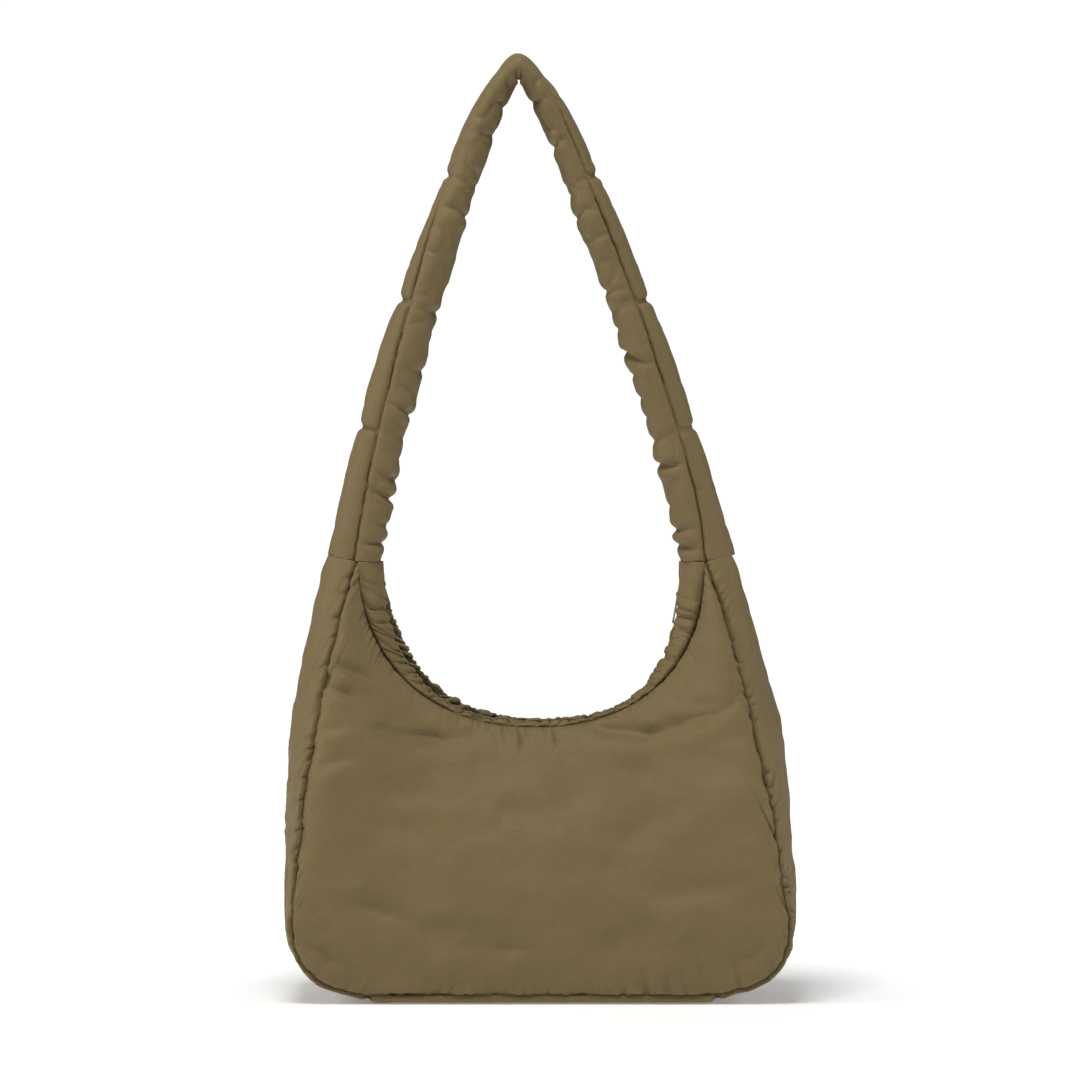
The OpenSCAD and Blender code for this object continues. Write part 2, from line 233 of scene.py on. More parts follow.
def shell(name, outer, inner, material):
    """A closed piece between an outer and an inner grid of the same size."""
    nu, nv = outer.shape[:2]
    index = np.arange(nu * nv).reshape(nu, nv)
    quads = np.stack([index[:-1, :-1], index[1:, :-1], index[1:, 1:], index[:-1, 1:]], -1).reshape(-1, 4)
    border = np.concatenate([index[0, :-1], index[:-1, -1], index[-1, :0:-1], index[:0:-1, 0]])
    following = np.roll(border, -1)
    far = nu * nv
    rim = np.stack([border, following, following + far, border + far], 1)
    faces = np.concatenate([quads, quads[:, ::-1] + far, rim])
    verts = np.concatenate([outer.reshape(-1, 3), inner.reshape(-1, 3)])
    normal = np.cross(outer[1, 0] - outer[0, 0], outer[0, 1] - outer[0, 0])
    if np.dot(normal, outer[0, 0] - inner[0, 0]) < 0:
        faces = faces[:, ::-1]
    return make_object(name, verts, faces, material)


def weigh(obj):
    """Bakes obj's transform into its mesh."""
    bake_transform(obj)


def stands_for(piece, slot, *nodes):
    """Hides the CAD nodes that a piece replaces; the piece and the slot of its material are not used."""
    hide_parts(*nodes)


def hung_sheet(name, face, inner, material, slot, node):
    """A thin piece between two grids; the CAD node it stands for is hidden."""
    piece = shell(name, face, inner, material)
    stands_for(piece, slot, node)
    return piece


# -------- materials
WAVE_SPAN = 6.3           # bands of a wave texture for each unit of its scale


def new_material(name):
    """A material with its node tree and shader, and the object's own coordinates."""
    m = bpy.data.materials.new(name)
    m.use_nodes = True
    tree = m.node_tree
    return m, tree, tree.nodes["Principled BSDF"], tree.nodes.new("ShaderNodeTexCoord").outputs["Object"]


def settle(node, values):
    """Sets inputs of a node by name."""
    for name, value in values.items():
        node.inputs[name].default_value = value


def noise_node(tree, coords, scale, detail=3.0, stretch=(1, 1, 1), rough=0.5):
    mapping = tree.nodes.new("ShaderNodeMapping")
    mapping.inputs["Scale"].default_value = stretch
    tree.links.new(coords, mapping.inputs["Vector"])
    n = tree.nodes.new("ShaderNodeTexNoise")
    settle(n, {"Scale": scale, "Detail": detail, "Roughness": rough})
    tree.links.new(mapping.outputs["Vector"], n.inputs["Vector"])
    return n.outputs["Fac"]


def wave_node(tree, coords, scale, direction):
    w = tree.nodes.new("ShaderNodeTexWave")
    w.bands_direction = direction
    settle(w, {"Scale": scale, "Distortion": 0.6, "Detail": 1.0})
    tree.links.new(coords, w.inputs["Vector"])
    return w.outputs["Fac"]


def maths(tree, operation, a, b):
    m = tree.nodes.new("ShaderNodeMath")
    m.operation = operation
    for socket, value in zip(m.inputs, (a, b)):
        if isinstance(value, (int, float)):
            socket.default_value = value
        else:
            tree.links.new(value, socket)
    return m.outputs[0]


def bump_node(tree, height, strength, distance, under=None):
    b = tree.nodes.new("ShaderNodeBump")
    settle(b, {"Strength": strength, "Distance": distance})
    tree.links.new(height, b.inputs["Height"])
    if under is not None:
        tree.links.new(under, b.inputs["Normal"])
    return b.outputs["Normal"]


def colour_ramp(tree, fac, low, high, a=0.3, b=0.7):
    r = tree.nodes.new("ShaderNodeValToRGB")
    r.color_ramp.elements[0].position = a
    r.color_ramp.elements[0].color = (*low, 1)
    r.color_ramp.elements[1].position = b
    r.color_ramp.elements[1].color = (*high, 1)
    tree.links.new(fac, r.inputs["Fac"])
    return r.outputs["Color"]


def cloth_material(name, dark, light, weave=0.00042, crinkle=1.0, roughness=0.62, sheen=0.12):
    """Washed nylon or cotton: two-way weave, fine crinkle and uneven fading."""
    m, tree, shader, coords = new_material(name)
    cloudy = noise_node(tree, coords, 22, 4, rough=0.6)
    grainy = noise_node(tree, coords, 260, 3, rough=0.6)
    tone = maths(tree, "ADD", maths(tree, "MULTIPLY", cloudy, 0.6),
                 maths(tree, "MULTIPLY", grainy, 0.4))
    tree.links.new(colour_ramp(tree, tone, dark, light, 0.35, 0.65), shader.inputs["Base Color"])
    shine = maths(tree, "MULTIPLY_ADD", cloudy, 0.22)
    shine.node.inputs[2].default_value = roughness - 0.11
    tree.links.new(shine, shader.inputs["Roughness"])
    settle(shader, {"Specular IOR Level": 0.28, "Sheen Weight": sheen, "Sheen Roughness": 0.45})
    wrinkles = noise_node(tree, coords, 75, 5, stretch=(1, 1, 1.5), rough=0.62)
    normal = bump_node(tree, wrinkles, 0.30 * crinkle, 0.0035)
    fine = noise_node(tree, coords, 420, 3, rough=0.6)
    normal = bump_node(tree, fine, 0.22 * crinkle, 0.0008, normal)
    waves = 1 / weave / WAVE_SPAN
    threads = maths(tree, "ADD", wave_node(tree, coords, waves, "X"),
                    wave_node(tree, coords, waves, "Z"))
    normal = bump_node(tree, threads, 0.10, 0.0002, normal)
    tree.links.new(normal, shader.inputs["Normal"])
    return m


def metal_material(name, colour, roughness):
    m, tree, shader, coords = new_material(name)
    scratches = noise_node(tree, coords, 900, 4, stretch=(1, 6, 1))
    tree.links.new(colour_ramp(tree, scratches, tuple(c * 0.85 for c in colour), colour),
              shader.inputs["Base Color"])
    shader.inputs["Metallic"].default_value = 1.0
    spread = maths(tree, "MULTIPLY_ADD", scratches, 0.18)
    spread.node.inputs[2].default_value = roughness
    tree.links.new(spread, shader.inputs["Roughness"])
    tree.links.new(bump_node(tree, scratches, 0.08, 0.0002), shader.inputs["Normal"])
    return m


def thread_material(name, colour):
    m, tree, shader, coords = new_material(name)
    ply = noise_node(tree, coords, 1800, 2)
    shade = colour_ramp(tree, ply, tuple(c * 0.7 for c in colour), colour)
    tree.links.new(shade, shader.inputs["Base Color"])
    shader.inputs["Roughness"].default_value = 0.6
    tree.links.new(bump_node(tree, ply, 0.4, 0.0002), shader.inputs["Normal"])
    return m


NYLON = cloth_material("khaki_nylon", (0.166, 0.120, 0.049), (0.186, 0.135, 0.057), sheen=0.03)
LINING = cloth_material("khaki_lining", (0.105, 0.077, 0.036), (0.140, 0.104, 0.050),
                        crinkle=0.6, sheen=0.05)
TAPE = cloth_material("zip_tape_weave", (0.055, 0.040, 0.020), (0.085, 0.062, 0.032),
                      weave=0.0007, crinkle=0.2)
LABEL = cloth_material("label_satin", (0.80, 0.79, 0.75), (0.88, 0.87, 0.84), crinkle=0.3, roughness=0.45)
METAL = metal_material("zip_nickel", (0.83, 0.83, 0.82), 0.22)
THREAD = thread_material("khaki_thread", (0.085, 0.062, 0.030))


# -------- folds and puckers
def billow(*coords, seed=0):
    """Rounded puffs with sharp valleys between them, from 0 to 1."""
    return np.minimum(1, 1.8 * np.abs(noise(*coords, seed=seed))) ** 0.8


def gathers(s, d, reach, pitch, skew, seed):
    """Small puffs along a seam: s runs along it and d away from it. They die out over the reach."""
    u = (s + skew * d) / pitch + 0.6 * noise(s / (5 * pitch), seed=seed)
    puffs = billow(u, d / (3 * reach), seed=seed + 1) - 0.5
    strength = 0.55 + 0.45 * noise(s / 0.03, seed=seed + 2)
    return strength * (1 - np.exp(-d / (0.8 * MM))) * np.exp(-d / reach) * puffs


def on_line(x, z, start, end):
    """Share of the way from start to end, and distance to the upper side of the line between them."""
    a, b = np.array(start), np.array(end)
    length = np.linalg.norm(b - a)
    along = (b - a) / length
    share = ((x - a[0]) * along[0] + (z - a[1]) * along[1]) / length
    return share, (z - a[1]) * along[0] - (x - a[0]) * along[1]


def crease(x, z, start, end, width, height):
    """A soft hollow with a ridge under it (or the reverse) along a line that dies out at both ends."""
    width, height = width * MM, height * MM
    t, side = on_line(x, z, start, end)
    ends = smooth(t / 0.35) * smooth((1 - t) / 0.35)
    bent = side + 0.35 * width * np.sin(6.5 * t + 40 * start[0])
    narrow = width * (0.7 + 0.6 * ends)
    hollow = np.exp(-(bent / narrow) ** 2)
    ridge = np.exp(-((bent + 1.8 * narrow) / (1.5 * narrow)) ** 2)
    return height * ends * (hollow - 0.5 * ridge)


def ledge(x, z, start, end, width, height):
    """Cloth that sags over itself: a steep face along a line with a slow slope above it."""
    width, height = width * MM, height * MM
    t, above = on_line(x, z, start, end)
    above = above + 0.5 * width * np.sin(np.pi * t) + 0.5 * MM * noise(t * 6, seed=SEED)
    ends = smooth(t / 0.4) * smooth((1 - t) / 0.4)
    return height * ends * smooth(above / (0.5 * width)) * np.exp(-np.maximum(above, 0) / (2.2 * width))


# Start and end of each sagging fold in front, in metres on the upright bag, and its width and height in mm
FRONT_LEDGES = (
    ((-0.122, 0.190), (-0.040, 0.180), 9, 5.4),
    ((0.022, 0.188), (0.104, 0.187), 9, 5.4),
    ((0.076, 0.186), (0.148, 0.210), 9, 3.6),
    ((-0.150, 0.074), (-0.074, 0.042), 12, 3.2),
    ((-0.090, 0.049), (0.010, 0.040), 12, 3.2),
    ((0.046, 0.036), (0.124, 0.052), 12, 2.0),
)

# The same for each crease of a panel
FRONT_CREASES = (
    ((-0.118, 0.188), (-0.058, 0.177), 7.0, -2.9),
    ((-0.084, 0.173), (-0.034, 0.180), 5.0, -1.7),
    ((-0.066, 0.190), (-0.032, 0.178), 3.6, -1.1),
    ((0.026, 0.189), (0.088, 0.180), 6.5, -3.0),
    ((0.066, 0.176), (0.128, 0.198), 4.5, -2.6),
    ((0.092, 0.190), (0.150, 0.214), 5.0, -2.0),
    ((0.100, 0.165), (0.150, 0.170), 6.0, -1.4),
    ((-0.009, 0.186), (-0.011, 0.168), 1.4, -1.3),
    ((0.012, 0.186), (0.014, 0.171), 1.3, -1.2),
    ((-0.148, 0.238), (-0.104, 0.214), 3.0, -2.0),
    ((-0.150, 0.217), (-0.116, 0.206), 3.0, -1.8),
    ((-0.156, 0.188), (-0.124, 0.184), 3.2, -1.6),
    ((-0.152, 0.160), (-0.120, 0.166), 3.6, -1.2),
    ((-0.142, 0.078), (-0.074, 0.046), 6.5, -2.2),
    ((-0.090, 0.050), (0.002, 0.042), 8.0, -2.4),
    ((0.020, 0.040), (0.110, 0.048), 9.0, -2.2),
    ((0.060, 0.062), (0.150, 0.092), 8.0, -1.5),
    ((-0.160, 0.046), (-0.138, 0.026), 3.6, -1.8),
    ((-0.152, 0.033), (-0.120, 0.020), 3.0, -1.5),
    ((0.128, 0.026), (0.158, 0.044), 4.0, -1.4),
    ((-0.030, 0.120), (0.050, 0.150), 12, -1.7),
    ((0.045, 0.100), (0.105, 0.140), 7.0, -1.4),
)
BACK_CREASES = (
    ((-0.120, 0.182), (-0.030, 0.168), 4.5, -2.6),
    ((0.040, 0.184), (0.128, 0.200), 4.5, -2.6),
    ((-0.130, 0.060), (0.030, 0.046), 10, -2.4),
    ((0.010, 0.120), (0.140, 0.096), 12, 2.0),
    ((-0.150, 0.130), (-0.060, 0.108), 8.0, -1.8),
    ((0.100, 0.040), (0.155, 0.062), 6.0, -1.6),
)

CREASE_DEPTH = 1.7        # how many times deeper the creases are than their tables say
# Height, length across, length up and slant of the uneven swells of a panel
PANEL_SWELLS = (
    (2.4 * MM, 55 * MM, 34 * MM, math.inf),
    (1.6 * MM, 24 * MM, 13 * MM, 50 * MM),
    (0.5 * MM, 8.5 * MM, 5.2 * MM, math.inf),
)
# Steps along the seam, across a panel, across the gusset and across a rim band
NU, NV, NT, NR = 700, 68, 80, 32
PATH, OUT, PATH_LENGTH = seam_outline(NU)
ALONG = np.linspace(0, PATH_LENGTH, NU)
ANGLE = np.linspace(0, np.pi, NU)
GROOVE, GROOVE_WIDTH = 2.2 * MM, 1.1 * MM  # the narrow groove of a seam
DIP, DIP_WIDTH = 1.3 * MM, 5.0 * MM        # and the soft dip around it
CORNER_RISE = 1.7 * MM    # how far the base corners stay off the floor


def slant(off, z):
    """Rise of the strap seam towards the outer side of the bag."""
    return STRAP_SLANT * np.maximum(off, 0) * smooth((z - 0.25) / (SEAM_H - 0.25))


def corner_rise(x, z):
    """Lift of the base corners, more on the right, where the bag tips up a little."""
    side = np.where(x > 0, 1.5, 1.0)
    return side * CORNER_RISE * smooth((np.abs(x) - 0.112) / 0.022) * (1 - smooth((z - 0.008) / 0.075))


def sewn_down(d):
    """Share of the seam's sideways wander, and how deep the cloth is drawn in, at a distance from it."""
    return np.exp(-d / (3.5 * MM)), GROOVE * np.exp(-d / GROOVE_WIDTH) + DIP * np.exp(-d / DIP_WIDTH)


def seam_wander(side):
    """The zigzag of the drawn-in seam, in the plane of the panel, stronger below than by the strap."""
    low = 0.35 + 0.65 * smooth((SEAM_H - 0.02 - PATH[:, 1]) / 0.08)
    shift = 0.75 * MM * noise(ALONG / 0.0032, seed=11 + side)
    shift = shift + 0.5 * MM * noise(ALONG / 0.011, seed=14 + side)
    along = np.gradient(PATH, axis=0)
    along /= np.linalg.norm(along, axis=1)[:, None]
    across = np.stack([-along[:, 1], along[:, 0]], 1) * (shift * low)[:, None]
    return np.stack([across[:, 0], 0 * ALONG, across[:, 1]], 1)


def panel_base(side):
    """Even outer face of a panel before any fold; side is -1 in front and 1 behind.

    Gives the face, its normals, its place on the upright bag, v from 0 at the rim seam to 1 at the gusset
    seam, and the distance between the two seams.
    """
    t = np.linspace(0, 1, NV)
    v = (0.4 * t + 0.6 * smooth(t))[None, :]
    sx, sz = (c[:, None] for c in rounded(ANGLE, RIM_SEAM_A, RIM_SEAM_B))
    ex, ez = PATH[:, :1], PATH[:, 1:]
    x, z = mix(sx, ex, v), mix(sz, ez, v)
    y = mix(rim_seam_depth(ANGLE)[:, None], half_depth(ez), np.sin(np.pi / 2 * v) ** 0.8)
    y = y + PANEL_SWELL * np.sin(np.pi * v) * np.sin(ANGLE)[:, None]
    base = np.stack([x + lean_x(z), side * y, z + corner_rise(x, z)], -1)
    return base, outward_normals(base), x, z, v, np.hypot(sx - ex, sz - ez)


def panel_folds(side, creases, ledges, seed):
    """Outer face of a panel with its gathers, swells, creases, sagging folds and drawn-in seams."""
    base, normal, x, z, v, span = panel_base(side)
    d_out, d_rim = (1 - v) * span, v * span
    s = ALONG[:, None]
    s_rim = ANGLE[:, None] * RIM_RUN
    free = (1 - np.exp(-d_out / 0.010)) * (1 - np.exp(-d_rim / 0.006))
    low = 0.3 + 0.7 * smooth((SEAM_H - 0.03 - PATH[:, 1:]) / 0.08)
    lift = 4.6 * MM * low * gathers(s, d_out, 5 * MM, 5.0 * MM, 0.3, seed)
    lift = lift + 4.0 * MM * gathers(s, d_out, 16 * MM, 15 * MM, 0.2, seed + 10)
    lift = lift + 3.6 * MM * gathers(s_rim, d_rim, 6 * MM, 4.5 * MM, 0.3, seed + 3)
    for k, (height, wide, high, slanted) in enumerate(PANEL_SWELLS, 5):
        lift = lift + free * height * noise(x / wide + z / slanted, z / high, seed=seed + k)
    for line in creases:
        lift = lift + free * CREASE_DEPTH * crease(x, z, *line)
    for line in ledges:
        lift = lift + free * ledge(x, z, *line)
    wander, sunk_out = sewn_down(d_out)
    sunk_rim = sewn_down(d_rim)[1] * smooth(np.sin(ANGLE) / 0.35)[:, None]
    p = base + normal * lift[..., None]
    p[..., 1] -= side * (sunk_out + sunk_rim)
    return p + seam_wander(side)[:, None] * wander[..., None]


def inside(base, normal, depth):
    """The face that lies a depth in from a smooth outer face."""
    return base - normal * depth


def build_panel(place, side, creases, ledges, seed):
    """A padded panel and its lining, sewn between the bag's gusset and its half of the mouth."""
    base, normal, _, _, v, _ = panel_base(side)
    face = panel_folds(side, creases, ledges, seed)
    face[..., 2] = np.maximum(face[..., 2], 1 * MM)
    panel = shell(f"{place}_panel_cloth", face, inside(base, normal, PAD), NYLON)
    weigh(panel)
    stands_for(panel, "shell_nylon", f"{place}_panel", f"{place}_wadding")

    deep = PAD + PLY_GAP
    part = slice(None, None, 3), slice(None, None, 2)
    lining = hung_sheet(f"{place}_lining_cloth", inside(base, normal, deep)[part],
                        inside(base, normal, deep + LINING_T)[part], LINING,
                        "lining", f"{place}_lining")
    weigh(lining)


def gusset_grid(seed):
    """Outer face of the whole gusset strip, from the front seam over to the back seam."""
    t = np.linspace(-1, 1, NT)
    q = mix(t, np.sin(np.pi / 2 * t), 0.7)[None, :]
    x0, z0 = PATH[:, :1], PATH[:, 1:]
    square = 2.15 + 2.6 * (1 - smooth((z0 - 0.012) / 0.09))
    corner = smooth((np.abs(x0) - 0.114) / 0.015) * (1 - smooth((z0 - 0.02) / 0.06))
    out = gusset_swell(z0) * (1 - 0.4 * corner) * np.maximum(1 - np.abs(q) ** square, 0) ** (1 / square)
    x = x0 + OUT[:, :1] * out
    z = z0 + OUT[:, 1:] * out
    z = z + slant(np.where(z0 > 0.2, np.abs(x) - HALF_TOP, 0), z)
    y = half_depth(z0) * q
    base = np.stack([x + lean_x(z), y, z + corner_rise(x, z0)], -1)
    normal = outward_normals(base)
    steps = np.linalg.norm(np.diff(base, axis=1), axis=-1)
    run = np.concatenate([np.zeros((NU, 1)), np.cumsum(steps, 1)], 1)
    other = run[:, -1:] - run
    d = np.minimum(run, other)
    s = ALONG[:, None]
    sides = smooth((z - 0.010) / 0.05)
    free = 1 - np.exp(-d / 0.009)
    lift = sides * free * 2.2 * MM * noise(s / 0.075, y / 0.014, seed=seed)
    lift = lift - sides * free * 1.5 * MM * billow(s / 0.045 + y / 0.05, y / 0.012, seed=seed + 1)
    lift = lift + sides * free * 0.8 * MM * noise(s / 0.012, y / 0.007, seed=seed + 2)
    low = (0.25 + 0.75 * sides) * (0.5 + 0.5 * smooth((SEAM_H - 0.02 - z0) / 0.08))
    lift = lift + 12.0 * MM * low * gathers(s, d, 4.5 * MM, 5.2 * MM, 0.7, seed + 3)
    lift = lift + 4.0 * MM * low * gathers(s, d, 13 * MM, 12 * MM, 0.5, seed + 6)
    tuck = sum(np.exp(-((s - PATH_LENGTH / 2 - k * CORNER_X) / (2.5 * MM)) ** 2) for k in (-1, 1))
    lift = lift - 2.2 * MM * tuck
    p = base + normal * lift[..., None]
    p[..., 1] += sewn_down(run)[1] - sewn_down(other)[1]
    p = p + seam_wander(-1)[:, None] * sewn_down(run)[0][..., None]
    p = p + seam_wander(1)[:, None] * sewn_down(other)[0][..., None]
    p[..., 2] = np.maximum(p[..., 2], 0.2 * MM)
    return p, base, normal


def build_gussets():
    """The two side gussets and the base gusset, each padded and lined, cut from one strip."""
    p, base, normal = gusset_grid(40)
    near = int(np.argmin(np.abs(ALONG - (PATH_LENGTH / 2 - CORNER_X))))
    far = NU - 1 - near
    deep = PAD + PLY_GAP
    for part, first, last in (("right", 0, near), ("base", near, far), ("left", far, NU - 1)):
        rows = slice(first, last + 1)
        words = "base" if part == "base" else f"side_{part}"
        stem = "base_{}" if part == "base" else "side_{}_" + part
        inner = inside(base, normal, PAD)[rows]
        inner[..., 2] = np.maximum(inner[..., 2], PAD)
        skin = shell(f"{words}_gusset_cloth", p[rows], inner, NYLON)
        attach(skin, "bag")
        stands_for(skin, "shell_nylon", stem.format("gusset"), stem.format("wadding"))

        thin = slice(first, last + 1, 3)
        lining = hung_sheet(f"{words}_lining_cloth", inside(base, normal, deep)[thin],
                            inside(base, normal, deep + LINING_T)[thin], LINING,
                            "lining", stem.format("lining"))
        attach(lining, "bag")


# -------- rim bands
EDGE_Y = 5.6 * MM         # half depth of the rim's free edge
EDGE_ROUND = 1.3 * MM
EDGE_SQUARE = 2.55        # the free edge is squarer than the seam
TURN_STEPS = 7            # steps of a rim band's grid over its free edge
HEM_DOWN, HEM_IN = 8 * MM, 4 * MM  # how far the inner face runs down and towards the lining
TUCK_X = 105 * MM         # distance from the middle at which a tuck's height is measured
# Tucks in the wide ends of the rim: side, height, slope across the band and depth in mm
RIM_TUCKS = (
    (-1, 0.2655, 0.0, 1.5), (-1, 0.2560, 0.1, 1.7), (-1, 0.282, 0.15, 0.8),
    (1, 0.2590, -0.3, 1.4), (1, 0.2500, -0.4, 1.0),
)


def edge_outline(shift, narrower):
    """The free edge of a rim, as seen from the front."""
    e = 2 / EDGE_SQUARE
    x = (RIM_EDGE_A - narrower) * signed_power(np.cos(ANGLE), e)
    z = SEAM_H - (RIM_EDGE_B - narrower) * np.abs(np.sin(ANGLE)) ** e
    return x + shift * np.sin(ANGLE) ** 0.7 * smooth((SEAM_H - z) / 0.05), z


def rim_grid(side, shift, narrower, seed):
    """The gathered band: up its face from the seam, over the free edge and down to the lining."""
    sx, sz = rounded(ANGLE, RIM_SEAM_A, RIM_SEAM_B)
    ex, ez = edge_outline(shift, narrower)
    low = smooth(np.sin(ANGLE) / 0.35)
    seam = np.stack([sx, sz], 1)
    across = np.stack([ex, ez], 1) - seam
    width = np.linalg.norm(across, axis=1)
    unit = across / width[:, None]
    s_edge = ANGLE * RIM_RUN
    width = width + low * 1.1 * MM * (billow(s_edge / 0.0058, seed=seed + 9) - 0.5)
    y_seam = rim_seam_depth(ANGLE)
    y_edge = mix(2.9 * MM, EDGE_Y, smooth((SEAM_H - ez - 1 * MM) / 0.012))
    crown = mix(1.5 * MM, 5.2 * MM, np.abs(np.cos(ANGLE)) ** 6)
    face = NR // 2
    back = NR - face - TURN_STEPS
    go, y, share = [], [], []
    for t in np.linspace(0, 1, face, endpoint=False):
        go.append((width - EDGE_ROUND) * t)
        y.append(mix(y_seam, y_edge, t) + crown * math.sin(math.pi * t))
        share.append(t)
    for b in np.linspace(0, math.pi, TURN_STEPS, endpoint=False):
        go.append(width - EDGE_ROUND + EDGE_ROUND * math.sin(b))
        y.append(y_edge - EDGE_ROUND + EDGE_ROUND * math.cos(b))
        share.append(1.0)
    for t in np.linspace(0, 1, back):
        go.append(width - EDGE_ROUND - HEM_DOWN * t * low)
        y.append(y_edge - 2 * EDGE_ROUND + HEM_IN * t * low)
        share.append(1 - t)
    go, y, share = np.stack(go, 1), np.stack(y, 1), np.array(share)[None, :]
    x = seam[:, :1] + unit[:, :1] * go
    z = seam[:, 1:] + unit[:, 1:] * go
    base = np.stack([x + lean_x(z), side * y, z], -1)
    normal = grid_normals(base)
    if (normal[:, face // 2, 1] * side).sum() < 0:
        normal = -normal
    s = s_edge[:, None]
    held = smooth(share / 0.2)
    gathered = (0.15 + 0.85 * low)[:, None]
    puff_at = (s + 0.45 * go) / 0.0050 + 0.5 * noise(s / 0.02, seed=seed)
    puffs = billow(puff_at, share * 0.6, seed=seed + 1) - 0.5
    fine = noise((s + 0.3 * go) / 0.0021, share * 1.5, seed=seed + 2)
    loose = noise(s / 0.016, share, seed=seed + 3)
    lift = held * (gathered * (2.4 * MM * puffs + 0.3 * MM * fine) + 1.0 * MM * loose)
    tucks = 0
    for hand, at, slope, depth in RIM_TUCKS:
        off = z - at - slope * (np.abs(x) - TUCK_X)
        tucks = tucks + depth * MM * np.exp(-(off / (1.6 * MM)) ** 2) * (np.sign(x) == hand)
    lift = lift - 1.6 * tucks * np.sin(np.pi * np.clip(share, 0, 1) * 0.85)
    p = base + normal * lift[..., None]
    p[:, 0] = base[:, 0]
    p[..., 1] -= side * sewn_down(go)[1] * low[:, None] * (np.arange(NR) < face)
    return p, base, normal


def build_rim(place, side, shift, narrower, seed):
    """A rim band round its half of the mouth."""
    p, base, normal = rim_grid(side, shift, narrower, seed)
    rim = shell(f"{place}_rim_band", p, inside(p, normal, 1.0 * MM), NYLON)
    weigh(rim)
    stands_for(rim, "shell_nylon", f"{place}_rim")


# -------- zip
TOOTH_H = 2.2 * MM
ROW_R = MOUTH.z - TEETH_LOW.z - TOOTH_H / 2  # radius of the middle of the rows
TOOTH_PITCH = 2.5 * MM
CLAMP_ARC = 0.85 * MM     # half length of a tooth along the row
TAPE_IN, TAPE_OUT, TAPE_HALF_T = 2.3 * MM, 4.9 * MM, 0.25 * MM
ZIP_FROM, ZIP_TO, END_ANGLE = math.radians(4), math.radians(176), math.radians(16.25)
# Distance from the middle, half length and half height of a tooth's rings, from the clamp to the head
TOOTH_RINGS = ((2.6 * MM, 1.0, 1.0), (1.4 * MM, 1.0, 1.0), (1.0 * MM, 0.7, 0.84), (0.28 * MM, 0.6, 0.68))
OCTAGON = ((-1, -0.75), (-0.75, -1), (0.75, -1), (1, -0.75), (1, 0.75), (0.75, 1), (-0.75, 1), (-1, 0.75))


def row_out(a):
    """How far the rows sit outside their circle, so that the squarer rim edge still hides them."""
    edge_x, edge_z = edge_outline(0, 0)
    edge_x = edge_x + lean_x(edge_z) - MOUTH.x
    edge_z = MOUTH.z - edge_z
    turn = np.arctan2(edge_z, edge_x)
    turn = np.where(turn < -1, turn + 2 * np.pi, turn)
    cover = mix(0.8 * MM, -0.7 * MM, smooth(np.asarray(a) / np.pi))
    wanted = np.interp(a, turn, np.hypot(edge_x, edge_z)) + cover + TOOTH_H / 2 - ROW_R
    return np.maximum(wanted, 0) * smooth((np.sin(a) - 0.2) / 0.3)


def zip_point(r, a, y):
    """A point on the scooped zip, at a radius and an angle round the mouth."""
    r = r + row_out(a)
    return np.stack([MOUTH.x + r * np.cos(a), y + 0 * a, MOUTH.z - r * np.sin(a)], -1)


def tooth(a, side):
    """One metal tooth: a clamp on the tape with a narrower head towards the middle."""
    verts = []
    for y, arc, height in TOOTH_RINGS:
        for da, dr in OCTAGON:
            turn = a + da * arc * CLAMP_ARC / ROW_R
            verts.append(zip_point(ROW_R + dr * height * TOOTH_H / 2, np.array(turn), side * y))
    n = len(OCTAGON)
    last = (len(TOOTH_RINGS) - 1) * n
    faces = [[k * n + j, k * n + (j + 1) % n, (k + 1) * n + (j + 1) % n, (k + 1) * n + j]
             for k in range(len(TOOTH_RINGS) - 1) for j in range(n)]
    faces += [list(range(n))[::-1], [last + j for j in range(n)]]
    return verts, faces if side < 0 else [f[::-1] for f in faces]


def teeth_row(name, side, first, last):
    step = TOOTH_PITCH / ROW_R
    offset = step / 2 if side > 0 else 0
    verts, faces = [], []
    for k in range(math.ceil((first - offset) / step), math.floor((last - offset) / step) + 1):
        v, f = tooth(k * step + offset, side)
        faces += [[i + len(verts) for i in face] for face in f]
        verts += v
    return make_object(name, np.array(verts), faces, METAL, smooth_shade=False)


def tape_shell(name, side, first, last):
    a = np.linspace(first, last, max(12, int((last - first) * 90)))[:, None]
    y = side * np.linspace(TAPE_IN, TAPE_OUT, 6)[None, :]
    ripple = 0.12 * MM * np.sin(a * 160)
    top = zip_point(ROW_R - TAPE_HALF_T + ripple, a + 0 * y, y)
    low = zip_point(ROW_R + TAPE_HALF_T + ripple, a + 0 * y, y)
    return shell(name, top, low, TAPE)


def build_zip():
    """The two rows on their tapes and the sewn-down ends."""
    for side, place in ((-1, "front"), (1, "back")):
        row = teeth_row(f"zip_teeth_{place}_row", side, END_ANGLE, math.pi - END_ANGLE)
        tape = tape_shell(f"zip_tape_{place}_cloth", side, END_ANGLE, math.pi - END_ANGLE)
        for piece, kind, slot in ((row, "teeth", "zip_metal"), (tape, "tape", "zip_tape")):
            weigh(piece)
            stands_for(piece, slot, f"zip_{kind}_{place}")
    for place, first, last in (("right", ZIP_FROM, END_ANGLE), ("left", math.pi - END_ANGLE, ZIP_TO)):
        for side, half in ((-1, "front"), (1, "back")):
            row = teeth_row(f"zip_end_{place}_{half}_teeth", side, first, last)
            tape = tape_shell(f"zip_end_{place}_{half}_tape", side, first, last)
            for piece, slot in ((row, "zip_metal"), (tape, "zip_tape")):
                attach(piece, "bag")
            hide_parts(f"zip_end_{place}")
    for node in ("zip_slider", "zip_pull", "zip_stop_left", "zip_stop_right"):
        for material_slot in frame["nodes"][node].material_slots:
            material_slot.material = METAL


